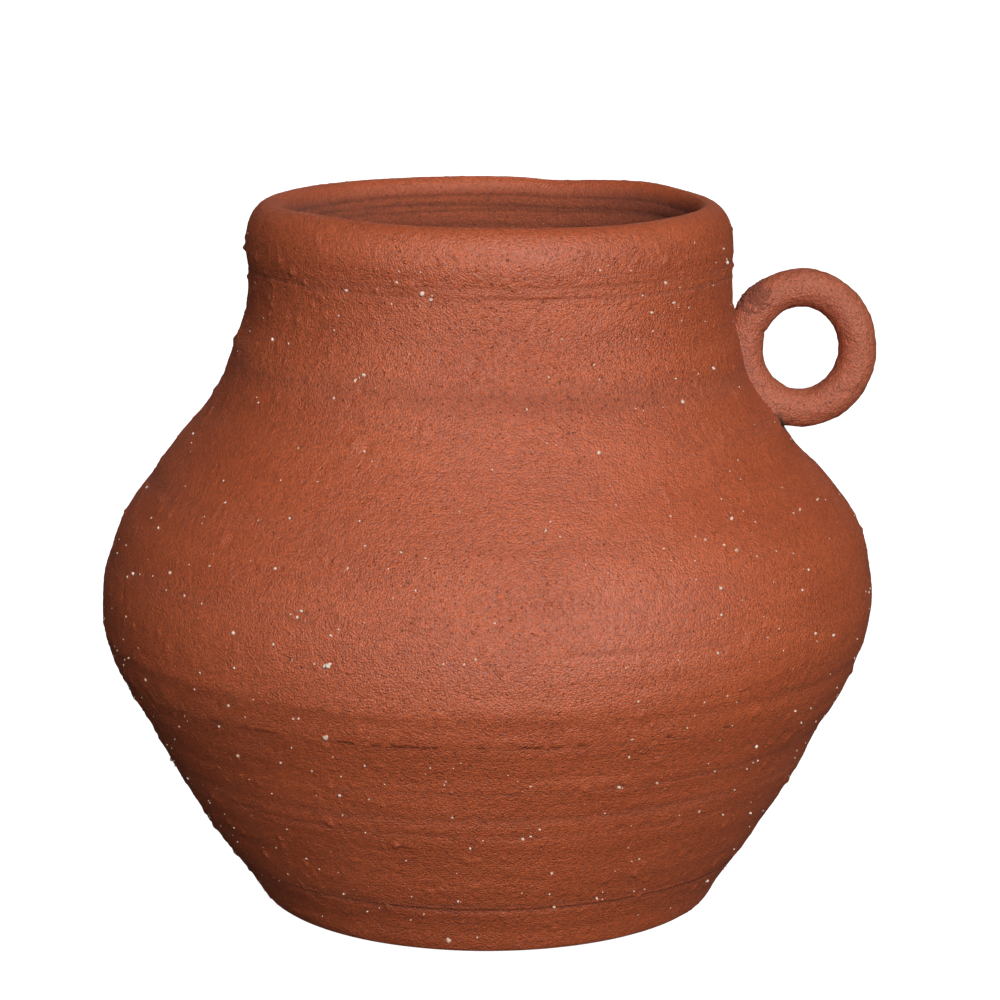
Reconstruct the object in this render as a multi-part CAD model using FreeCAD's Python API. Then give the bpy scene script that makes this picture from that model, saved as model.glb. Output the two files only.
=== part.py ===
import FreeCAD, Part
import math
import os

# A hand-thrown terracotta jar with a rolled rim and one small ring handle on its neck.
# It is made in clay sections that stand on each other and are luted together before firing.
# Millimetres. The origin is the centre of the flat foot, +Z is up, and the handle is on the
# +X side with its ring standing in the XZ plane.

# Thicknesses
WALL = 7.5
FLOOR = 9.0

# Foot: a flat resting face with a rounded edge
FOOT_ROUNDING = 6.0
FOOT_LEAN = 33.4  # degrees from upright that the wall flares at as it leaves the foot
FOOT_RADIUS = 58.1  # of the flat resting face

# Stations of the outer face, as (radius, height), from the foot up to the waist of the neck
FOOT = (
    FOOT_RADIUS + FOOT_ROUNDING * math.cos(math.radians(FOOT_LEAN)),
    FOOT_ROUNDING * (1 - math.sin(math.radians(FOOT_LEAN))),
)
HEEL = (73.0, 17.1)
FLARE = (100.1, 64.0)
BELLY = (105.0, 84.5)
SHOULDER = (96.3, 110.9)
SLOPE_END = (80.9, 129.7)
WAIST = (64.5, 168.0)
STATIONS = [FOOT, HEEL, FLARE, BELLY, SHOULDER, SLOPE_END, WAIST]

# Rolled rim, as (radius, height)
RIM_GROOVE = (64.3, 173.0)
RIM_BULGE = (65.9, 180.0)
LIP_OUTSIDE = (65.0, 186.5)
LIP_CREST = (60.0, 191.0)
LIP_INSIDE = (54.98, 186.2)
UNDERCUT = (55.1, 181.5)
NECK_INSIDE = (57.0, 177.5)

# Heights of the joints between the clay sections
BASE_JOINT = 15.0
BELLY_JOINT = 66.0
NECK_JOINT = 148.0

# Ring handle: a rolled coil closed into a ring, pressed against the neck and shoulder
RING_CENTRE = (84.5, 151.1)  # X and Z
RING_RADIUS = 15.8  # of the coil's centre line
COIL_RADIUS = 5.2

# Luting: soft clay worked into the corner between coil and wall
LUTING_WIDTH = 2.0  # beyond the coil
LUTING_HEIGHT = 3.0  # above the wall

UP = FreeCAD.Vector(0, 0, 1)
ORIGIN = FreeCAD.Vector(0, 0, 0)
OUTSIDE_REACH = 150.0  # a radius that clears the whole jar


def point(station):
    """A (radius, height) pair as a point in the XZ half plane."""
    return FreeCAD.Vector(station[0], 0, station[1])


def line(start, end):
    return Part.LineSegment(point(start), point(end)).toShape()


def arc(start, middle, end):
    return Part.Arc(point(start), point(middle), point(end)).toShape()


def spin(edges):
    """The solid swept by a closed outline turned once about the jar's axis."""
    return Part.Face(Part.Wire(edges)).revolve(ORIGIN, UP, 360)


def chord_lean(low, high):
    """Degrees from upright of the straight line between two stations, outward positive."""
    return math.degrees(math.atan2(high[0] - low[0], high[1] - low[1]))


def wall_leans():
    """The wall's lean at each station when every arc leaves the one below it in line."""
    leans = [FOOT_LEAN]
    for low, high in zip(STATIONS, STATIONS[1:]):
        leans.append(2 * chord_lean(low, high) - leans[-1])
    return leans


def inward(station, lean, depth):
    """The point that lies depth millimetres into the wall, square to its face."""
    turn = math.radians(lean)
    return (station[0] - depth * math.cos(turn), station[1] + depth * math.sin(turn))


def bend(start, lean, end):
    """The arc that leaves start at the given lean and ends at end."""
    half_turn = math.radians(lean - chord_lean(start, end)) / 2
    across, up = end[0] - start[0], end[1] - start[1]
    bulge = math.tan(half_turn) / 2
    middle = (start[0] + across / 2 + up * bulge, start[1] + up / 2 - across * bulge)
    return arc(start, middle, end)


def wall_face(depth, first=0):
    """The stations and arcs of the wall's face at a depth below the outer one."""
    leans = wall_leans()
    stations = [inward(s, a, depth) for s, a in zip(STATIONS, leans)]
    spans = list(zip(stations, leans, stations[1:]))
    return stations[first:], [bend(*span) for span in spans[first:]]


def foot_edges():
    """The resting face's radius and the rounded edge, tangent to it and to the wall."""
    rest = (FOOT_RADIUS, 0)
    half = (math.pi / 2 + math.radians(FOOT_LEAN)) / 2
    middle = (
        FOOT_RADIUS + FOOT_ROUNDING * math.cos(half),
        FOOT_ROUNDING * (1 - math.sin(half)),
    )
    return [line((0, 0), rest), arc(rest, middle, FOOT)]


def floor_edges(heel, lean):
    """The round corner inside, tangent to the wall at the heel and to the level floor."""
    turn = math.radians(lean)
    radius = (heel[1] - FLOOR) / (1 - math.sin(turn))
    centre = (heel[0] - radius * math.cos(turn), FLOOR + radius)
    half = (math.pi / 2 + turn) / 2
    middle = (centre[0] + radius * math.cos(half), centre[1] - radius * math.sin(half))
    level = (centre[0], FLOOR)
    return [arc(heel, middle, level), line(level, (0, FLOOR)), line((0, FLOOR), (0, 0))]


def jar_solid():
    """The whole jar without its handle: outer face, rolled lip, inner face and floor."""
    outer_arcs = wall_face(0)[1]
    inner_stations, inner_arcs = wall_face(WALL, first=1)
    rim = [
        line(WAIST, RIM_GROOVE),
        arc(RIM_GROOVE, RIM_BULGE, LIP_OUTSIDE),
        arc(LIP_OUTSIDE, LIP_CREST, LIP_INSIDE),
        arc(LIP_INSIDE, UNDERCUT, NECK_INSIDE),
        line(NECK_INSIDE, inner_stations[-1]),
    ]
    inner_arcs.reverse()
    floor = floor_edges(inner_stations[0], wall_leans()[1])
    return spin(foot_edges() + outer_arcs + rim + inner_arcs + floor)


def filled_form(growth=0.0):
    """A solid block bounded by the outer face, grown outward, from the foot to the rim."""
    stations, arcs = wall_face(-growth)
    top, bottom = stations[-1], stations[0]
    roof = [
        line(top, (top[0], LIP_CREST[1])),
        line((top[0], LIP_CREST[1]), (0, LIP_CREST[1])),
        line((0, LIP_CREST[1]), (0, bottom[1])),
        line((0, bottom[1]), bottom),
    ]
    return spin(arcs + roof)


def section(jar, low, high):
    """The clay section of the jar between two joint heights."""
    slab = Part.makeCylinder(OUTSIDE_REACH, high - low, FreeCAD.Vector(0, 0, low))
    return jar.common(slab)


def ring(coil_radius):
    """A closed ring of round coil standing in the XZ plane."""
    centre = FreeCAD.Vector(RING_CENTRE[0], 0, RING_CENTRE[1])
    return Part.makeTorus(RING_RADIUS, coil_radius, centre, FreeCAD.Vector(0, 1, 0))


def ring_handle():
    """The ring, flattened where it is pressed on the wall."""
    return ring(COIL_RADIUS).cut(filled_form())


def handle_luting():
    """The bead of clay that fills the corner along both sides of the pressed coil."""
    near_wall = filled_form(LUTING_HEIGHT).cut(filled_form())
    return ring(COIL_RADIUS + LUTING_WIDTH).common(near_wall).cut(ring(COIL_RADIUS))


def save(name, shape):
    solids = shape.Solids
    body = solids[0] if len(solids) == 1 else Part.makeCompound(solids)
    body.exportStep(f"parts/{name}.step")
    print(name, len(solids), body.isValid(), round(body.Volume / 1000, 2), "cm3", body.BoundBox)


os.makedirs("parts", exist_ok=True)
jar = jar_solid()
save("base_dish", section(jar, 0, BASE_JOINT))
save("lower_wall", section(jar, BASE_JOINT, BELLY_JOINT))
save("shoulder_section", section(jar, BELLY_JOINT, NECK_JOINT))
save("neck_collar", section(jar, NECK_JOINT, RIM_GROOVE[1]))
save("rolled_rim", section(jar, RIM_GROOVE[1], LIP_CREST[1]))
save("ring_handle", ring_handle())
save("handle_luting", handle_luting())
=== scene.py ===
import itertools
import math

import bmesh
import bpy
import numpy as np
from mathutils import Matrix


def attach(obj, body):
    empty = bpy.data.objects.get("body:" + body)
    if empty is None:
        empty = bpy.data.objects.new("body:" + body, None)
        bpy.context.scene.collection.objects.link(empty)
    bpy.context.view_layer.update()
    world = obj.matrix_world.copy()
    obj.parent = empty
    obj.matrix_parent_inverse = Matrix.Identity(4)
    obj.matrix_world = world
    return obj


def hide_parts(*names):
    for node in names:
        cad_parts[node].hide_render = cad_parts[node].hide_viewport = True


# A hand-thrown terracotta jar with a rolled rim and one ring handle. Sizes are in
# millimetres until a mesh is made. Angles run about the jar's axis: 0 is the handle's
# side (+X), 90 the back (+Y), 180 the left and 270 the front, which faces the camera.

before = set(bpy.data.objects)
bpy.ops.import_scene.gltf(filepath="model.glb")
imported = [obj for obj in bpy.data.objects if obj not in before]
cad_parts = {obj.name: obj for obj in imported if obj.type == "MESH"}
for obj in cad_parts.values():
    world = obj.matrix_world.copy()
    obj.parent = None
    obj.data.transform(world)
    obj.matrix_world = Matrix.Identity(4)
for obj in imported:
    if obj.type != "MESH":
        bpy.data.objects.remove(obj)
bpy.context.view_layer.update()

MM = 0.001
SEED = 7
COLUMNS = 800  # vertices round the jar in every clay section

# Wall of the jar, as (radius, height) stations up the outer face
FOOT = [(0, 0), (20, 0), (40, 0), (54, 0), (59.0, 0.1), (61.3, 0.6), (62.8, 2.2)]
BODY = [
    (66.2, 7.7), (69.8, 12.6), (73.0, 17.1), (79.1, 26.5), (84.8, 35.8), (90.0, 45.2), (94.8, 54.6),
    (99.6, 63.5), (102.4, 69.5), (104.4, 77.0), (105.0, 85.0), (104.1, 92.2), (102.1, 99.0),
    (99.0, 106.2), (94.6, 113.2), (89.0, 120.3), (82.4, 128.0), (77.1, 135.4), (72.9, 142.0),
    (69.8, 148.5), (67.2, 155.5), (65.5, 162.5), (64.8, 169.0),
]
RIM = [
    (64.8, 173.5), (65.2, 177.0), (65.5, 180.5), (65.0, 184.5), (63.6, 187.9), (61.1, 190.4),
    (58.3, 191.1), (56.0, 189.6), (55.0, 186.6), (54.9, 183.0), (55.5, 178.5),
]
FLOOR = [(62.2, 16.2), (54.6, 11.4), (44.5, 9.3), (30, 9), (15, 9), (0, 9)]
JAR_HEIGHT = 191.0
WALL = 7.5
FOLLOWS_OUTER = (22.0, 166.0)  # heights between which the inner face follows the outer one
UNDER_LIP = (56.9, 173.0)  # where the inner face comes out below the lip
LEAN = 1.1  # the mouth stands this far to the right of the foot
MOUTH_SHIFT = 1.3  # the opening lies this far to the right in the lip
MOUTH_SHIFT_RADII = (59, 54)  # the shift sets in inwards between these radii
MOUTH_SHIFT_HEIGHTS = (150, 175)  # and upwards between these heights
LIP_WAVE_HEIGHTS = (168, 188)  # the lip's unevenness sets in between these heights
FLAT_UNDERSIDE = 1.0  # below this height the foot stays level

# Joints between the clay sections
BASE_JOINT = 15.0
BELLY_JOINT = 66.0
NECK_JOINT = 148.0
RIM_JOINT = 173.0

# Ring handle
RING_X = 84.9
RING_Z = 150.9
RING_HALF_WIDTH = 15.4
RING_HALF_HEIGHT = 16.5
COIL = 5.2
RING_STEPS = 420
LUTING_STEPS = 230
COIL_SIDES = 130
RING_SINK = 1.2  # how far the coil's flat side is sunk below the face of the wall
LUTING_SINK = 0.9

# Places round the ring, in degrees from its outermost point towards its top
LUTING_ENDS = (113, 262)
UPPER_JOINT = 134
LOWER_JOINT = 243
CREVICE_PLACE = 258
SMEAR_PLACE = 212
SMEAR_REACH = 42

# The gap left open under the handle, as size on the wall, depth and painted shade
CREVICE_Z = 131.0
CREVICE_HALF_WIDTH = 7.0
CREVICE_HALF_HEIGHT = 2.2
CREVICE_DEPTH = 1.1
CREVICE_PAINTED_SHADE = 2.2


# ---------------------------------------------------------------- noise and curves

SLOPES = np.array(
    [s for s in itertools.product((-1, 0, 1), repeat=3) if sum(map(abs, s)) == 2], float
)


def scramble(cell, seed):
    """A repeatable large whole number for each cell of a grid."""
    cell = cell.astype(np.uint64)
    mixed = cell[..., 0] * np.uint64(73856093)
    mixed ^= cell[..., 1] * np.uint64(19349663)
    mixed ^= cell[..., 2] * np.uint64(83492791)
    mixed ^= np.uint64(seed * 2654435761)
    for factor in (0xFF51AFD7ED558CCD, 0xC4CEB9FE1A85EC53):
        mixed ^= mixed >> np.uint64(33)
        mixed *= np.uint64(factor)
    return mixed ^ (mixed >> np.uint64(33))


def noise(points, seed):
    """Smooth noise from about -1 to 1, with features about one unit across."""
    cell = np.floor(points).astype(np.int64)
    part = points - cell
    fade = part**3 * (part * (part * 6 - 15) + 10)
    total = np.zeros(points.shape[:-1])
    for corner in itertools.product((0, 1), repeat=3):
        slope = SLOPES[(scramble(cell + corner, seed) % np.uint64(12)).astype(int)]
        weight = np.where(corner, fade, 1 - fade).prod(-1)
        total += weight * ((part - corner) * slope).sum(-1)
    return total


def ramp(value, start, end):
    """0 at start, 1 at end, straight between them and level beyond."""
    return np.clip((value - start) / (end - start), 0, 1)


def natural_cubic(knots, values, at):
    """The smoothest curve through values at knots, read at other places."""
    gap = np.diff(knots)
    count = len(knots)
    matrix = np.eye(count)
    right = np.zeros(count)
    for i in range(1, count - 1):
        matrix[i, i - 1 : i + 2] = gap[i - 1], 2 * (gap[i - 1] + gap[i]), gap[i]
        rise = np.diff(values)[i - 1 : i + 1] / gap[i - 1 : i + 1]
        right[i] = 6 * (rise[1] - rise[0])
    bend = np.linalg.solve(matrix, right)
    i = np.clip(np.searchsorted(knots, at) - 1, 0, count - 2)
    width, before, after = gap[i], knots[i + 1] - at, at - knots[i]
    curve = (bend[i] * before**3 + bend[i + 1] * after**3) / (6 * width)
    curve += (values[i] / width - bend[i] * width / 6) * before
    return curve + (values[i + 1] / width - bend[i + 1] * width / 6) * after


PATH_STEP = 0.1


def smooth_path(stations):
    """Closely set points on a smooth curve through the stations."""
    stations = np.array(stations, float)
    knots = np.r_[0, np.cumsum(np.linalg.norm(np.diff(stations, axis=0), axis=1))]
    at = np.linspace(0, knots[-1], int(knots[-1] / PATH_STEP) + 1)
    return np.stack([natural_cubic(knots, stations[:, k], at) for k in (0, 1)], 1)


def path_normals(path):
    """Unit normals to the right of the way along a path."""
    along = np.gradient(path, axis=0)
    along /= np.linalg.norm(along, axis=1, keepdims=True)
    return np.stack([along[:, 1], -along[:, 0]], 1)


def even(path, step):
    """The path's points picked about step apart, with both ends kept."""
    length = np.r_[0, np.cumsum(np.linalg.norm(np.diff(path, axis=0), axis=1))]
    at = np.linspace(0, length[-1], max(2, int(round(length[-1] / step)) + 1))
    return np.stack([np.interp(at, length, path[:, k]) for k in (0, 1)], 1)


def wall_faces():
    """The outer path, foot to inside of the lip, and the inner path, lip to floor."""
    outer = smooth_path(FOOT + BODY + RIM)
    outer[:, 1] = np.maximum(outer[:, 1], 0)
    normals = path_normals(outer)
    inside = []
    for radius, height in reversed(BODY):
        if FOLLOWS_OUTER[0] < height < FOLLOWS_OUTER[1]:
            near = np.argmin(np.hypot(outer[:, 0] - radius, outer[:, 1] - height))
            inside.append(outer[near] - WALL * normals[near])
    inner = smooth_path([RIM[-2], RIM[-1], UNDER_LIP] + inside + FLOOR)
    inner[:, 0] = np.maximum(inner[:, 0], 0)
    return outer, inner


OUTER, INNER = wall_faces()
CREST = np.argmax(OUTER[:, 1])
LIP_END = np.argmin(np.hypot(*(OUTER - RIM[-2]).T))


def outer_radius(height):
    """Radius of the outer face at a height, below the crest of the lip."""
    return np.interp(height, OUTER[:CREST, 1], OUTER[:CREST, 0])


# ---------------------------------------------------------------- marks of the throwing

# Rings cut or pressed into the outer face: height at the front, rise from left to right,
# depth and half width, the step by which the face above stands proud, the angle at which
# the mark is strongest, and how tightly it gathers there, 0 where it runs all round
OUTER_RINGS = [
    (175.8, 0.2, 0.18, 0.40, 0.0, 0, 0),
    (173.2, -0.9, 0.26, 0.42, 0.0, 0, 0),
    (148.0, -2.0, 0.36, 3.20, 0.0, 0, 0),
    (136.0, -1.0, 0.22, 2.40, 0.0, 0, 3),
    (115.5, -2.0, 0.28, 2.80, 0.0, 200, 3),
    (97.5, 0.5, 0.22, 2.20, 0.0, 190, 3),
    (91.0, -2.2, 0.26, 0.40, 0.12, 295, 50),
    (73.2, -1.5, 0.05, 1.20, 0.80, 0, 0),
    (65.6, 0.0, 0.05, 0.90, 0.35, 200, 2),
    (65.4, 0.0, 0.10, 0.35, 0.0, 276, 40),
    (52.3, 0.4, 0.14, 0.45, 0.10, 300, 3),
    (44.0, 0.3, 0.20, 1.30, 0.0, 0, 0),
    (39.0, -0.4, 0.16, 1.00, 0.0, 230, 3),
    (16.2, 0.3, 0.20, 0.50, 0.0, 250, 3),
    (14.4, -0.2, 0.24, 0.55, 0.0, 260, 3),
]
MOUTH_PAINTED_SHADE = 1.1  # painted shade on the clay just inside the lip
INSIDE_PAINTED_SHADE = 0.5  # and further down
INSIDE_SHADE_START = (190.3, 186.3)  # it sets in between these heights
INSIDE_SHADE_CHANGE = (168, 138)  # and less so between these
CALM_CREST = 189.0  # finger ripples fade out over the crest of the lip
INNER_RINGS = [
    (186.3, 0.2, 0.25, 0.40, 0.0, 0, 0),
    (183.4, -0.4, 0.30, 0.45, 0.0, 0, 0),
    (182.0, 0.5, 0.25, 0.35, 0.0, 80, 3),
    (177.5, 0.0, 0.30, 1.20, 0.0, 0, 0),
]


def ring_marks(rings, angle, height, seed):
    """Outward shift that the throwing rings give at each place, and the painted shade laid in their
    grooves.
    """
    shift = np.zeros(np.broadcast(angle, height).shape)
    dark = np.zeros_like(shift)
    round_trip = np.stack([np.cos(angle), np.sin(angle), 0 * angle], -1)
    for number, (level, rise, depth, width, step, strongest, gather) in enumerate(rings):
        wander = noise(round_trip * 2.2 + number * 5.3, seed)
        strength = np.clip(0.8 + 0.55 * noise(round_trip * 3.1 + number * 9.7, seed), 0.15, 1.3)
        toward = 0.5 + 0.5 * np.cos(angle - math.radians(strongest))
        strength = strength * (0.08 + 0.92 * toward**gather)
        offset = (height - (level + rise * np.cos(angle) + 0.35 * wander)) / width
        groove = np.exp(-(offset**2)) * strength
        shift += step * 0.5 * np.tanh(offset) * strength - depth * groove
        shift -= step * 0.5 * np.tanh(offset * width / 9) * strength
        # painted shade in the groove, darker for deeper grooves
        dark += groove * min(1, depth / (0.55 * math.sqrt(width)))
    return shift, dark


# Where the thrown wall is fuller or leaner than round: angle, height, half height, amount
SWELLS = [
    (0, 170, 7, 0.8), (0, 142, 7, -1.3), (0, 124, 6, -1.0), (0, 103, 9, 0.9), (0, 74, 6, -0.7),
    (0, 50, 5, -0.6), (180, 152, 6, 0.9), (180, 127, 6, 0.9), (180, 68, 11, 0.6),
]


def swells(angle, height):
    """Broad unevenness of the hand-thrown wall, each swell on one side of it."""
    total = 0
    for side, level, reach, amount in SWELLS:
        toward = np.clip(np.cos(angle - math.radians(side)), 0, 1) ** 1.5
        total = total + amount * toward * np.exp(-(((height - level) / reach) ** 2))
    return total


def throwing_ripples(angle, height, seed):
    """Level ripples that fingers leave, coarse to fine."""
    slope = height + 1.2 * np.cos(angle)
    total = 0
    for size, turns, rise in ((9.0, 1.1, 0.30), (3.4, 1.8, 0.13), (1.5, 2.6, 0.05)):
        around = np.stack([turns * np.cos(angle) + 0 * slope, turns * np.sin(angle) + 0 * slope,
                           slope / size], -1)
        total = total + rise * noise(around, seed + int(size * 10))
    return total


COARSE_BELOW = 95.0  # the skin gets coarser downwards from here
COARSE_NECK = ((125, 145), (186, 174))  # and is coarse on the neck, between these two ramps


def coarseness(points):
    """How coarse the skin is: most on the left, on the neck and low down."""
    height = points[..., 2]
    rough = 0.75 + 0.35 * noise(points / 38, SEED + 3) - 0.0026 * points[..., 0]
    rough = rough + 0.0012 * np.clip(COARSE_BELOW - height, 0, None)
    on_neck = ramp(height, *COARSE_NECK[0]) * ramp(height, *COARSE_NECK[1])
    return rough + 0.35 * on_neck


def lumps(points):
    """Lumpy skin of coarse clay."""
    rough = coarseness(points)
    coarse = 0.12 * noise(points / 7, SEED + 4)
    middle = 0.10 * noise(points / 3.1, SEED + 5)
    fine = 0.065 * noise(points / 1.7, SEED + 6)
    peaks = np.clip(noise(points / 2.3, SEED + 8) - 0.33, 0, 1) * 0.75
    return rough * (coarse + middle + fine + peaks)


def body_drift(points, height):
    """Slow out-of-round drift of the thrown wall, and the lean of the whole jar."""
    share = ramp(height, 0, JAR_HEIGHT)
    slow = 0.35 * share * noise(points / 75, SEED + 11)
    return slow, LEAN * (share - 0.5) * ramp(height, 0, 12)


# The lip stands highest at one angle, and rises or dips near others: angle, reach, amount
LIP_HIGH_SIDE = 112
LIP_WAVES = [(71, 8, -0.65), (42, 13, 0.75), (222, 16, 0.6), (303, 18, -0.4)]


def rim_height(angle):
    """How much the lip rises and dips round the mouth."""
    degrees = np.degrees(angle)
    rise = 0.75 * np.cos(angle - math.radians(LIP_HIGH_SIDE)) - 0.1
    for side, reach, amount in LIP_WAVES:
        rise = rise + amount * np.exp(-(((degrees - side) / reach) ** 2))
    return rise


def wall_places(angle, still, normal, relief):
    """Where points of the truly round wall come to lie on the thrown one."""
    height = still[..., 2]
    drift, lean = body_drift(still, height)
    in_mouth = ramp(np.hypot(still[..., 0], still[..., 1]), *MOUTH_SHIFT_RADII)
    lean = lean + MOUTH_SHIFT * in_mouth * ramp(height, *MOUTH_SHIFT_HEIGHTS)
    outward = normal[..., 0] * relief + drift
    place = still + np.stack([outward * np.cos(angle) + lean, outward * np.sin(angle),
                              normal[..., 1] * relief], -1)
    lip = rim_height(angle) * ramp(height, *LIP_WAVE_HEIGHTS)
    place[..., 2] = np.where(height < FLAT_UNDERSIDE, height, place[..., 2] + lip)
    return place


def handle_crevice(still):
    """The gap left open under the handle, where no clay was worked in: a shallow dent with painted
    shade in it.
    """
    across = still[..., 1] / CREVICE_HALF_WIDTH
    up = (still[..., 2] - CREVICE_Z) / CREVICE_HALF_HEIGHT
    return np.where(still[..., 0] > 0, np.exp(-(across**2) - up**2), 0)


def outer_relief(angle, height, still):
    """Relief of the outer face, and the painted shade in its grooves and in the gap under the handle,
    without the scattered bumps.
    """
    relief, dark = ring_marks(OUTER_RINGS, angle, height, SEED + 23)
    relief = relief - CREVICE_DEPTH * handle_crevice(still)
    # painted shade in the gap under the handle
    dark = dark + CREVICE_PAINTED_SHADE * handle_crevice(still)
    calm = np.clip((CALM_CREST - height) / 6, 0.25, 1)
    relief = relief + calm * throwing_ripples(angle, height, SEED + 24) + 0.8 * lumps(still)
    return relief + swells(angle, height), dark


def inner_relief(angle, height, still):
    """Relief of the inner face, and the painted shade in its grooves and inside the mouth."""
    relief, dark = ring_marks(INNER_RINGS, angle, height, SEED + 21)
    relief = relief + throwing_ripples(angle, height, SEED + 22) + 0.6 * lumps(still)
    # painted shade inside the mouth, strongest just inside the lip
    inside_shade = MOUTH_PAINTED_SHADE + (INSIDE_PAINTED_SHADE - MOUTH_PAINTED_SHADE) * ramp(height, *INSIDE_SHADE_CHANGE)
    return relief, dark + inside_shade * ramp(height, *INSIDE_SHADE_START)


def round_points(angle, radius, height):
    """Places on the truly round jar."""
    return np.stack([radius * np.cos(angle), radius * np.sin(angle), height + 0 * angle], -1)


def clay_surface(rows, normals, inside):
    """Places, painted shade and coarseness of a grid of rows round the jar."""
    angle = np.arange(COLUMNS) * 2 * math.pi / COLUMNS
    angle = np.broadcast_to(angle, (len(rows), COLUMNS))
    height = rows[:, 1:] + 0 * angle
    still = round_points(angle, rows[:, :1], height)
    if inside:
        relief, dark = inner_relief(angle, height, still)
    else:
        relief, dark = outer_relief(angle, height, still)
        relief = relief + bumps_and_pits(angle, height)
    relief = relief * ramp(rows[:, :1], 0, 30)
    normal = np.broadcast_to(normals[:, None, :], angle.shape + (2,))
    return wall_places(angle, still, normal, relief), dark, coarseness(still)


# ---------------------------------------------------------------- grog

GROG_COUNT = 950
BURIED_COUNT = 1100

# Marks that stand out: angle, height, size of the grains, how many lie together, spread
CLUSTERS = [
    (248.0, 86.5, 0.55, 6, 1.1), (247.0, 67.5, 0.75, 2, 0.5), (291.0, 52.5, 0.60, 2, 0.4),
    (257.0, 174.0, 0.60, 3, 1.0), (315.0, 145.0, 0.55, 2, 0.4), (241.0, 152.0, 0.40, 3, 1.2),
    (243.0, 98.5, 0.45, 4, 1.5), (262.0, 4.0, 0.60, 2, 1.0), (60.0, 120.0, 0.55, 4, 1.2),
    (130.0, 70.0, 0.60, 3, 1.0), (100.0, 160.0, 0.50, 3, 0.8), (20.0, 60.0, 0.55, 3, 1.0),
]


def scattered_grog():
    """Angle, height and size of each pale grain that shows on the outer face."""
    random = np.random.default_rng(SEED)
    heights = random.uniform(3, 187, GROG_COUNT * 2)
    heights = heights[random.uniform(0, 105, GROG_COUNT * 2) < outer_radius(heights)][:GROG_COUNT]
    angles = random.uniform(0, 2 * math.pi, len(heights))
    sizes = 0.18 + 0.48 * random.beta(1.2, 4.5, len(heights))
    grains = [np.stack([angles, heights, sizes], 1)]
    for degrees, level, size, number, spread in CLUSTERS:
        away = random.normal(0, spread, (number, 2)) * (1, 0.5)
        turn = math.radians(degrees) + away[:, 0] / outer_radius(level)
        sizes = size * random.uniform(0.6, 1.1, number)
        grains.append(np.stack([turn, level + away[:, 1], sizes], 1))
    return np.vstack(grains)


GROG = scattered_grog()

# Lumps and pits that stand out: angle, height, radius, rise
MARKED_BUMPS = [
    (184.0, 178.8, 0.75, 0.80), (246.4, 135.9, 1.30, -0.60), (243.5, 136.6, 1.00, 0.60),
    (225.0, 112.0, 1.20, 0.55), (227.0, 112.6, 0.90, -0.50), (214.0, 179.0, 0.80, 0.50),
    (219.0, 176.5, 0.90, 0.60), (223.0, 174.5, 0.70, 0.55), (292.5, 97.0, 0.80, -0.55),
]


def scattered_bumps():
    """Angle, height, radius and rise of buried coarse grains, and of the larger grains' pits."""
    random = np.random.default_rng(SEED + 1)
    buried = np.stack([
        random.uniform(0, 2 * math.pi, BURIED_COUNT),
        random.uniform(4, 186, BURIED_COUNT),
        0.60 + 0.75 * random.beta(1.4, 3.5, BURIED_COUNT),
        random.choice([-0.8, 1, 1, 1], BURIED_COUNT) * random.uniform(0.15, 0.55, BURIED_COUNT),
    ], 1)
    large = GROG[GROG[:, 2] > 0.38]
    pits = np.c_[large[:, :2], 1.7 * large[:, 2], np.full(len(large), -0.25)]
    marked = np.array(MARKED_BUMPS) * (math.pi / 180, 1, 1, 1)
    return np.vstack([buried, pits, marked])


def bumps_and_pits(angle, height):
    """The scattered bumps' share in the relief of a grid on the outer face."""
    relief = np.zeros(angle.shape)
    levels = height[:, 0]
    for turn, level, size, rise in scattered_bumps():
        reach = 2.6 * size
        rows = np.flatnonzero(abs(levels - level) < reach)
        if not len(rows):
            continue
        radius = outer_radius(level)
        half = int(reach / radius / (2 * math.pi) * COLUMNS) + 1
        columns = int(round(turn / (2 * math.pi) * COLUMNS)) + np.arange(-half, half + 1)
        across = (columns / COLUMNS * 2 * math.pi - turn) * radius
        up = (levels[rows] - level)[:, None]
        relief[np.ix_(rows, columns % COLUMNS)] += rise * np.exp(-((across**2 + up**2) / size**2))
    return relief


# ---------------------------------------------------------------- meshes

SHARP_DEGREES = 62  # the edges of the joint faces are sharper than this


def make_piece(name, places, faces, material, nodes):
    """A finished piece on the jar's one body, standing for the CAD nodes it follows."""
    mesh = bpy.data.meshes.new(name)
    mesh.from_pydata((np.asarray(places) * MM).tolist(), [], faces)
    mesh.update()
    mesh.polygons.foreach_set("use_smooth", np.ones(len(mesh.polygons), bool))
    mesh.set_sharp_from_angle(angle=math.radians(SHARP_DEGREES))
    piece = bpy.data.objects.new(name, mesh)
    bpy.context.scene.collection.objects.link(piece)
    mesh.materials.append(material)
    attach(piece, "root")
    if nodes:
        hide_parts(*nodes)
    return piece


def add_values(piece, name, values):
    """A number at each vertex that the material reads by this name."""
    piece.data.attributes.new(name, "FLOAT", "POINT").data.foreach_set(
        "value", np.asarray(values, np.float32).ravel()
    )


def grid_faces(rows, columns, closed):
    """Faces of a grid whose rows each run round and close on themselves.

    If closed, the last row joins the first. Otherwise a disc closes each end.
    """
    row = np.arange(rows if closed else rows - 1)[:, None]
    column = np.arange(columns)[None, :]
    after, beside = (row + 1) % rows, (column + 1) % columns
    corners = [row * columns + column, row * columns + beside,
               after * columns + beside, after * columns + column]
    faces = np.stack([c + 0 * row for c in corners], -1).reshape(-1, 4).tolist()
    if not closed:
        last = (rows - 1) * columns
        faces.append(list(range(columns))[::-1])
        faces.append(list(range(last, last + columns)))
    return faces


def span(path, low, high):
    """The stretch of a face between two heights, ends exact, in the path's order."""
    upward = path[-1, 1] > path[0, 1]
    path = path if upward else path[::-1]
    inside = (path[:, 1] > low) & (path[:, 1] < high)
    ends = [[np.interp(z, path[:, 1], path[:, 0]), z] for z in (low, high)]
    piece = np.vstack([ends[:1], path[inside], ends[1:]])
    return piece if upward else piece[::-1]


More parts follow.
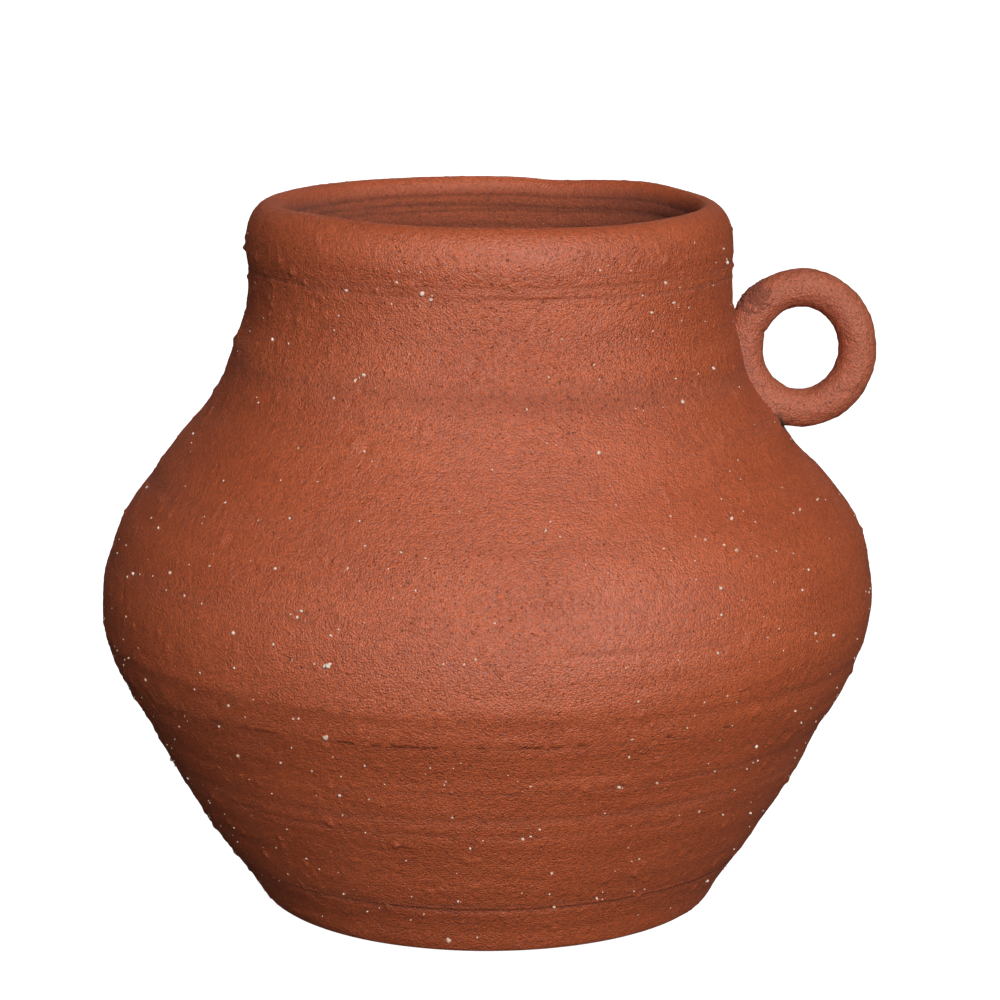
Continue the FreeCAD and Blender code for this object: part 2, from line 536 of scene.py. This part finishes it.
def clay_piece(name, bands, closed, material):
    """A section of the jar, from bands of rows round it, each as (rows, inside).

    If closed, it is a ring of clay, and the joint faces lie between its two bands.
    """
    surfaces = [clay_surface(rows, path_normals(rows), inside) for rows, inside in bands]
    places, dark, coarse = (np.vstack(part) for part in zip(*surfaces))
    faces = grid_faces(len(places), COLUMNS, closed)
    piece = make_piece(name, places.reshape(-1, 3), faces, material, [name])
    # the painted shade goes to the material as its groove value
    add_values(piece, "groove", dark)
    add_values(piece, "coarse", coarse)


REST_RADIUS = 58  # the underside is coarsely meshed out to here, where nothing shows
DISC_RADIUS = 2  # and closed by one disc in the middle, as is the floor inside


def build_base(material):
    """The dish of the foot: resting face, first of the wall, and the floor inside."""
    outer_end = np.flatnonzero(OUTER[:, 1] > BASE_JOINT)[0]
    foot_end = np.flatnonzero(OUTER[:, 0] > REST_RADIUS)[0]
    middle = np.flatnonzero(OUTER[:, 0] > DISC_RADIUS)[0]
    under = even(OUTER[middle:foot_end], 5.0)[:-1]
    outer_joint = span(OUTER[:CREST], BASE_JOINT, BELLY_JOINT)[:1]
    side = even(np.vstack([OUTER[foot_end:outer_end], outer_joint]), 0.62)
    low = INNER[np.flatnonzero(INNER[:, 1] < BASE_JOINT)[0]:]
    inner_joint = span(INNER, BASE_JOINT, BELLY_JOINT)[-1:]
    floor = even(np.vstack([inner_joint, low[low[:, 0] > DISC_RADIUS]]), 2.2)
    clay_piece("base_dish", [(np.vstack([under, side]), False), (floor, True)], False, material)


# ---------------------------------------------------------------- materials

SMEARED_CLAY = (0.44, 0.15, 0.085, 1)
PALE_SPECK = (0.68, 0.46, 0.34, 1)
WHITE_GRAIN = (0.74, 0.64, 0.55, 1)
STAINED_GRAIN = (0.55, 0.34, 0.23, 1)


def add(tree, kind, **settings):
    """A shader node, with sockets set by name or number from keyword pairs."""
    node = tree.nodes.new(kind)
    for key, value in settings.pop("inputs", {}).items():
        if isinstance(value, bpy.types.NodeSocket):
            tree.links.new(value, node.inputs[key])
        else:
            node.inputs[key].default_value = value
    for key, value in settings.items():
        setattr(node, key, value)
    return node


def math_node(tree, operation, first, second):
    """Two values joined by one operation."""
    return add(tree, "ShaderNodeMath", operation=operation, inputs={0: first, 1: second}).outputs[0]


def fit_range(tree, value, low, high, to_low, to_high):
    """The value moved from one range into another, and kept inside it."""
    pairs = {"Value": value, "From Min": low, "From Max": high, "To Min": to_low, "To Max": to_high}
    return add(tree, "ShaderNodeMapRange", inputs=pairs).outputs["Result"]


def mix_colour(tree, blend, share, first, second):
    """Two colours blended, with a share from 0 to 1 of the second."""
    node = add(tree, "ShaderNodeMix", data_type="RGBA", blend_type=blend)
    for socket, value in ((node.inputs[0], share), (node.inputs[6], first), (node.inputs[7], second)):
        if isinstance(value, bpy.types.NodeSocket):
            tree.links.new(value, socket)
        else:
            socket.default_value = value
    return node.outputs[2]


def noise_texture(tree, coordinates, size_mm, detail=2.0, stretch=(1, 1, 1), roughness=0.5):
    """Noise with features of about that size, squeezed along the axes by stretch."""
    place = add(tree, "ShaderNodeMapping", inputs={"Vector": coordinates, "Scale": stretch})
    settings = {"Vector": place.outputs[0], "Scale": 1000 / size_mm, "Detail": detail,
                "Roughness": roughness}
    return add(tree, "ShaderNodeTexNoise", inputs=settings).outputs["Fac"]


def cells(tree, coordinates, size_mm):
    """A loose grid of cells of about that size, as distance to the middle and random numbers."""
    node = add(tree, "ShaderNodeTexVoronoi", inputs={"Vector": coordinates, "Scale": 1000 / size_mm})
    random = add(tree, "ShaderNodeSeparateColor", inputs={0: node.outputs["Color"]})
    return node.outputs["Distance"], random.outputs[0], random.outputs[1]


JOSTLE_SCALE = 1400.0
JOSTLE_REACH = (0.0012, 0.0012, 0.0012)


def jostle(tree, coordinates):
    """The coordinates pushed about at random, so that what is round gets uneven."""
    push = add(tree, "ShaderNodeTexNoise",
               inputs={"Vector": coordinates, "Scale": JOSTLE_SCALE, "Detail": 1.0})
    return add(tree, "ShaderNodeVectorMath", operation="MULTIPLY_ADD",
               inputs={0: push.outputs["Color"], 1: JOSTLE_REACH, 2: coordinates}).outputs[0]


def speck_mask(tree, coordinates, cell_mm, radius_mm, share):
    """1 inside round specks up to that radius, 0 elsewhere; a share of the cells has one."""
    distance, choice, random = cells(tree, coordinates, cell_mm)
    radius = radius_mm / cell_mm
    size = fit_range(tree, random, 0, 1, radius * 0.45, radius)
    spot = fit_range(tree, distance, 0, size, 1, 0)
    soft = fit_range(tree, spot, 0, 0.45, 0, 1)
    return math_node(tree, "MULTIPLY", soft, math_node(tree, "LESS_THAN", choice, share))


def clay_material(name, light, deep, combing, groove_shade, roughness):
    """Unglazed, sandy terracotta: mottled, pinholed, with drag lines and pale specks, and painted
    shade in its hollows.

    groove_shade is how dark the clay gets where the groove value is 1.
    """
    material = bpy.data.materials.new(name)
    material.use_nodes = True
    tree = material.node_tree
    shader = tree.nodes["Principled BSDF"]
    place = add(tree, "ShaderNodeTexCoord").outputs["Object"]
    groove = add(tree, "ShaderNodeAttribute", attribute_name="groove").outputs["Fac"]
    smeared = add(tree, "ShaderNodeAttribute", attribute_name="smear").outputs["Fac"]
    coarse = add(tree, "ShaderNodeAttribute", attribute_name="coarse").outputs["Fac"]

    patches = noise_texture(tree, place, 26, detail=3.0, stretch=(1, 1, 2.2), roughness=0.6)
    bands = noise_texture(tree, place, 60, stretch=(0.6, 0.6, 14))
    grit = noise_texture(tree, place, 1.2, detail=3.0, roughness=0.7)
    drag = noise_texture(tree, place, 9, detail=3.0, stretch=(1, 1, 16), roughness=0.62)
    sand, tint, _ = cells(tree, place, 0.52)
    uneven = jostle(tree, place)
    pimples = speck_mask(tree, uneven, cell_mm=2.9, radius_mm=0.62, share=0.5)
    pinholes = speck_mask(tree, place, cell_mm=1.5, radius_mm=0.35, share=0.6)
    pits = speck_mask(tree, uneven, cell_mm=4.6, radius_mm=0.52, share=0.5)
    specks = speck_mask(tree, place, cell_mm=3.1, radius_mm=0.27, share=0.3)

    tone = math_node(tree, "ADD", math_node(tree, "MULTIPLY", patches, 0.65),
                     math_node(tree, "MULTIPLY", bands, 0.35))
    base = mix_colour(tree, "MIX", fit_range(tree, tone, 0.36, 0.64, 0, 1), deep, light)
    base = mix_colour(tree, "MIX", math_node(tree, "MULTIPLY", smeared, 0.8), base, SMEARED_CLAY)
    shade = fit_range(tree, tint, 0, 1, 0.80, 1.19)
    deepest = max(0.1, 2 * groove_shade - 1)
    # Painted shade and highlight: the clay is darker where the sand and grit sink, in pinholes and
    # pits, and where the groove value is high (painted shade in grooves, in the gap under the handle
    # and inside the mouth, and the luting's own darker clay over the upper joint), and lighter on the
    # raised pimples.
    for mask, low, high, at_low, at_high in (
        (sand, 0.15, 0.75, 1.06, 0.84), (grit, 0.3, 0.7, 0.86, 1.14), (groove, 0, 2, 1, deepest),
        (pinholes, 0, 1, 1, 0.55), (pits, 0, 1, 1, 0.68), (pimples, 0, 1, 0.98, 1.12),
    ):
        factor = fit_range(tree, mask, low, high, at_low, at_high)
        shade = math_node(tree, "MULTIPLY", shade, factor)
    grey = add(tree, "ShaderNodeCombineColor", inputs={0: shade, 1: shade, 2: shade}).outputs[0]
    colour = mix_colour(tree, "MULTIPLY", 1.0, base, grey)
    colour = mix_colour(tree, "MIX", math_node(tree, "MULTIPLY", specks, 0.7), colour, PALE_SPECK)
    tree.links.new(colour, shader.inputs["Base Color"])

    relief = math_node(tree, "MULTIPLY", sand, -0.20)
    for mask, rise in ((grit, 0.24), (drag, 0.10 * combing), (pinholes, -0.18), (pits, -0.26),
                       (pimples, 0.24), (specks, 0.12)):
        relief = math_node(tree, "ADD", relief, math_node(tree, "MULTIPLY", mask, rise))
    relief = math_node(tree, "MULTIPLY", relief, fit_range(tree, coarse, 0.5, 1.3, 0.85, 1.6))
    bump = add(tree, "ShaderNodeBump", inputs={"Strength": 1.0, "Distance": MM, "Height": relief})
    tree.links.new(bump.outputs[0], shader.inputs["Normal"])
    tree.links.new(fit_range(tree, groove, 0, 1.2, roughness, 1.0), shader.inputs["Roughness"])
    shader.inputs["Specular IOR Level"].default_value = 1.0
    return material


def grain_material():
    """Pale quartz and burnt-white grog."""
    material = bpy.data.materials.new("white_grog")
    material.use_nodes = True
    tree = material.node_tree
    shader = tree.nodes["Principled BSDF"]
    place = add(tree, "ShaderNodeTexCoord").outputs["Object"]
    stain = noise_texture(tree, place, 2.5)
    colour = mix_colour(tree, "MIX", fit_range(tree, stain, 0.4, 0.62, 0, 1),
                        WHITE_GRAIN, STAINED_GRAIN)
    tree.links.new(colour, shader.inputs["Base Color"])
    shader.inputs["Roughness"].default_value = 0.5
    return material


# ---------------------------------------------------------------- the jar

PAST_CREST = 12  # the outer band of the rim goes on this many points past the crest


def build_sections(material):
    """The five clay sections of the jar itself, foot to lip."""
    outer_wall = OUTER[:CREST]
    build_base(material)
    for name, low, high, outer_step, inner_step in (
        ("lower_wall", BASE_JOINT, BELLY_JOINT, 0.66, 3.2),
        ("shoulder_section", BELLY_JOINT, NECK_JOINT, 1.0, 6.0),
        ("neck_collar", NECK_JOINT, RIM_JOINT, 0.6, 1.2),
    ):
        outside = even(span(outer_wall, low, high), outer_step)
        inside = even(span(INNER, low, high), inner_step)
        clay_piece(name, [(outside, False), (inside, True)], True, material)
    start = np.flatnonzero(outer_wall[:, 1] > RIM_JOINT)[0]
    turn = CREST + PAST_CREST
    joint = span(outer_wall, RIM_JOINT, JAR_HEIGHT)[:1]
    outside = np.vstack([joint, OUTER[start:turn]])
    inside = np.vstack([OUTER[turn:LIP_END], span(INNER, RIM_JOINT, INNER[0, 1])])
    bands = [(even(outside, 0.5), False), (even(inside, 0.5), True)]
    clay_piece("rolled_rim", bands, True, material)


def ring_point(turn):
    """The coil's centre line, by the angle round the ring, 0 at the outermost point."""
    return np.stack([RING_X + RING_HALF_WIDTH * np.cos(turn), 0 * turn,
                     RING_Z + RING_HALF_HEIGHT * np.sin(turn)], -1)


def coil_grid(turns, rounds, thickness):
    """Places on a coil round the ring: turns along it, rounds about its centre line."""
    turn, about = np.meshgrid(turns, rounds, indexing="ij")
    centre = ring_point(turn)
    outward = np.stack([np.cos(turn) / RING_HALF_WIDTH, 0 * turn,
                        np.sin(turn) / RING_HALF_HEIGHT], -1)
    outward /= np.linalg.norm(outward, axis=-1, keepdims=True)
    side = np.zeros_like(outward)
    side[..., 1] = 1
    away = np.cos(about)[..., None] * outward + np.sin(about)[..., None] * side
    return centre + away * thickness(turn, about, centre + away * COIL)[..., None], turn, about


def press_on_wall(places, sink):
    """Clay that would lie inside the jar's wall is pressed flat on its face."""
    lean = LEAN * (places[..., 2] / JAR_HEIGHT - 0.5)
    across = places[..., 0] - lean
    angle = np.arctan2(places[..., 1], across)
    face = outer_radius(places[..., 2]) + swells(angle, places[..., 2]) - sink
    scale = np.maximum(1, face / np.hypot(across, places[..., 1]))
    places[..., 0] = across * scale + lean
    places[..., 1] *= scale
    return places


def coil_thickness(turn, about, place):
    """The hand-rolled coil's uneven thickness, with a nick inside the ring near the wall."""
    slow = 0.24 * noise(place / 11, SEED + 31) + 0.14 * noise(place / 4, SEED + 32)
    fine = 0.18 * noise(place / 1.8, SEED + 33)
    nick = -0.6 * np.exp(-(((np.cos(turn) + 0.93) / 0.03) ** 2) - ((np.cos(about) + 1) / 0.4) ** 2)
    return COIL + slow + fine + nick * (np.sin(turn) > 0)


def smear(turn, about):
    """Where wet clay was wiped over the side of the coil next to the wall."""
    along = np.exp(-(((np.degrees(turn) - SMEAR_PLACE) / SMEAR_REACH) ** 2))
    return along * np.clip(0.35 + np.cos(about), 0, 1)


def coil_piece(name, places, faces, material, groove, smeared):
    """A piece of the handle, with the values that its clay reads."""
    piece = make_piece(name, places.reshape(-1, 3), faces, material, [name])
    add_values(piece, "groove", groove)
    add_values(piece, "smear", smeared)
    add_values(piece, "coarse", 0.85 + 0.4 * smeared)


def build_ring(material):
    """The coil, closed into a ring and pressed on the wall."""
    turns = np.arange(RING_STEPS) * 2 * math.pi / RING_STEPS
    rounds = np.arange(COIL_SIDES) * 2 * math.pi / COIL_SIDES
    places, turn, about = coil_grid(turns, rounds, coil_thickness)
    places = press_on_wall(places, RING_SINK)
    faces = [f[::-1] for f in grid_faces(RING_STEPS, COIL_SIDES, True)]
    smeared = smear(turn, about)
    coil_piece("ring_handle", places, faces, material, 0 * turn, smeared)


def joint_cover(turn, middle, reach):
    """1 at one place round the ring, 0 away from it, in degrees."""
    return np.exp(-(((np.degrees(turn) - middle) / reach) ** 4))


def luting_thickness(turn, about, place):
    """A skin sunk in the coil that rises to a bead along the wall and over both joints."""
    gap = np.hypot(place[..., 0], place[..., 1]) - outer_radius(place[..., 2])
    bead = 0.75 * np.exp(-((np.clip(gap, 0, 9) / 1.1) ** 2))
    ridges = noise(place * (0.6, 0.6, 0.9) + 7, SEED + 41) + 0.7 * noise(place * 1.7, SEED + 42)
    hole_side = 0.3 + 0.7 * np.clip(np.cos(about) + 0.7, 0, 1)
    cover = joint_cover(turn, UPPER_JOINT, 19) * (0.85 + 0.40 * ridges) * hole_side
    cover = cover + joint_cover(turn, LOWER_JOINT, 9) * (0.35 + 0.40 * ridges)
    start, end = (math.radians(degrees) for degrees in LUTING_ENDS)
    ends = ramp(turn, start, start + 0.06) * ramp(turn, end, end - 0.08)
    return COIL - 0.5 + ends * (bead + cover + 0.12 * noise(place / 2.2, SEED + 43))


def build_luting(material):
    """The soft clay worked over both joints and along the wall between them."""
    turns = np.linspace(*np.radians(LUTING_ENDS), LUTING_STEPS)
    rounds = np.arange(COIL_SIDES) * 2 * math.pi / COIL_SIDES
    places, turn, about = coil_grid(turns, rounds, luting_thickness)
    places = press_on_wall(places, LUTING_SINK)
    faces = [f[::-1] for f in grid_faces(LUTING_STEPS, COIL_SIDES, False)]
    gap = np.hypot(places[..., 0], places[..., 1]) - outer_radius(places[..., 2])
    # painted shade where the luting's end meets the wall in the gap under the handle; over the upper
    # joint the luting clay itself is darker
    crevice_shade = joint_cover(turn, CREVICE_PLACE, 9) * np.exp(-((gap / 1.6) ** 2))
    groove = 0.8 * joint_cover(turn, UPPER_JOINT, 20) + 1.8 * crevice_shade
    smeared = smear(turn, about)
    coil_piece("handle_luting", places, faces, material, groove, smeared)


GRAIN_SINK = 0.15  # share of its size by which a grain's middle lies below the surface


def build_grains(material):
    """Pale grains half sunk in the face of the jar, each a small uneven stone."""
    random = np.random.default_rng(SEED + 2)
    shape = bmesh.new()
    bmesh.ops.create_icosphere(shape, subdivisions=2, radius=1)
    corners = np.array([v.co[:] for v in shape.verts])
    triangles = np.array([[v.index for v in face.verts] for face in shape.faces])
    shape.free()
    angles, heights, sizes = GROG.T
    still = round_points(angles, outer_radius(heights), heights)
    relief, _ = outer_relief(angles, heights, still)
    normals = path_normals(OUTER[:CREST])
    normal = np.stack([np.interp(heights, OUTER[:CREST, 1], normals[:, k]) for k in (0, 1)], -1)
    centres = wall_places(angles, still, normal, relief - GRAIN_SINK * sizes)
    places = []
    for centre, size in zip(centres, sizes):
        stretch = random.uniform(0.6, 1.3, 3) * size
        turned, _ = np.linalg.qr(random.normal(size=(3, 3)))
        turned = turned * np.linalg.det(turned)
        knobs = 1 + 0.3 * noise(corners * 1.4 + random.uniform(0, 90, 3), SEED)
        places.append((corners * knobs[:, None] * stretch) @ turned.T + centre)
    faces = triangles + np.arange(len(places))[:, None, None] * len(corners)
    make_piece("grog_grains", np.vstack(places), faces.reshape(-1, 3).tolist(), material,
               [])


# ---------------------------------------------------------------- studio

FLOOR_REACH = 12.0
FLOOR_GLOW = 0.93
CAMERA_PLACE = (0, -0.902, 0.287)
CAMERA_PITCH = 11.17  # degrees below level


def sun_light(name, azimuth, elevation, spread, power, glossy):
    """A broad soft light from far off. Azimuth 0 is the camera's side, positive to the right."""
    lamp = bpy.data.lights.new(name, "SUN")
    lamp.angle = math.radians(spread)
    lamp.energy = power
    light = bpy.data.objects.new(name, lamp)
    bpy.context.scene.collection.objects.link(light)
    light.rotation_euler = (math.radians(90 - elevation), 0, math.radians(azimuth))
    light.visible_glossy = glossy


def build_world():
    """A dim studio, lighter above and to the right of the jar."""
    world = bpy.data.worlds.new("studio")
    bpy.context.scene.world = world
    world.use_nodes = True
    tree = world.node_tree
    way = add(tree, "ShaderNodeTexCoord").outputs["Generated"]
    lift = add(tree, "ShaderNodeVectorMath", operation="DOT_PRODUCT",
               inputs={0: way, 1: (0.012, 0.0, 0.02)}).outputs["Value"]
    glow = math_node(tree, "MAXIMUM", math_node(tree, "ADD", lift, 0.035), 0.01)
    tree.links.new(glow, tree.nodes["Background"].inputs["Strength"])
    tree.nodes["Background"].inputs["Color"].default_value = (1, 1, 1, 1)


def build_studio():
    """A main light from the front right, three fill lights, and a floor as pale as paper."""
    build_world()
    sun_light("key", azimuth=14, elevation=23, spread=34, power=3.5, glossy=True)
    sun_light("left_fill", azimuth=-58, elevation=0, spread=40, power=0.40, glossy=False)
    sun_light("back_fill", azimuth=180, elevation=18, spread=40, power=1.4, glossy=False)
    sun_light("top_fill", azimuth=0, elevation=88, spread=20, power=0.22, glossy=False)
    mesh = bpy.data.meshes.new("floor")
    corners = [(x * FLOOR_REACH, y * FLOOR_REACH, 0) for x, y in ((-1, -1), (1, -1), (1, 1), (-1, 1))]
    mesh.from_pydata(corners, [], [(0, 1, 2, 3)])
    floor = bpy.data.objects.new("floor", mesh)
    bpy.context.scene.collection.objects.link(floor)
    paper = bpy.data.materials.new("pale_floor")
    paper.use_nodes = True
    shader = paper.node_tree.nodes["Principled BSDF"]
    shader.inputs["Base Color"].default_value = (0.5, 0.5, 0.5, 1)
    shader.inputs["Roughness"].default_value = 0.9
    shader.inputs["Specular IOR Level"].default_value = 0.0
    shader.inputs["Emission Color"].default_value = (1, 1, 1, 1)
    shader.inputs["Emission Strength"].default_value = FLOOR_GLOW
    mesh.materials.append(paper)
    floor.visible_diffuse = False
    floor.visible_glossy = False


def build_camera():
    """A long lens about 0.9 m away, looking down by 11 degrees."""
    data = bpy.data.cameras.new("camera")
    data.sensor_width = 36
    data.lens = 121.0
    data.shift_x = 0.0125
    data.clip_start = 0.01
    data.clip_end = 100
    camera = bpy.data.objects.new("camera", data)
    bpy.context.scene.collection.objects.link(camera)
    camera.location = CAMERA_PLACE
    camera.rotation_euler = (math.radians(90 - CAMERA_PITCH), 0, 0)
    bpy.context.scene.camera = camera


build_camera()
build_studio()
bpy.context.scene.view_settings.view_transform = "Standard"

build_sections(clay_material(
    "terracotta", light=(0.485, 0.090, 0.0210, 1), deep=(0.43, 0.074, 0.0150, 1),
    combing=1.0, groove_shade=0.66, roughness=0.58,
))
# The handle's clay is drawn a little greyer than the jar's: painted sheen.
build_ring(clay_material(
    "handle_clay", light=(0.44, 0.101, 0.037, 1), deep=(0.39, 0.080, 0.025, 1),
    combing=0.3, groove_shade=0.66, roughness=0.68,
))
build_luting(clay_material(
    "luting_clay", light=(0.42, 0.092, 0.034, 1), deep=(0.36, 0.072, 0.023, 1),
    combing=0.5, groove_shade=0.30, roughness=0.7,
))
build_grains(grain_material())
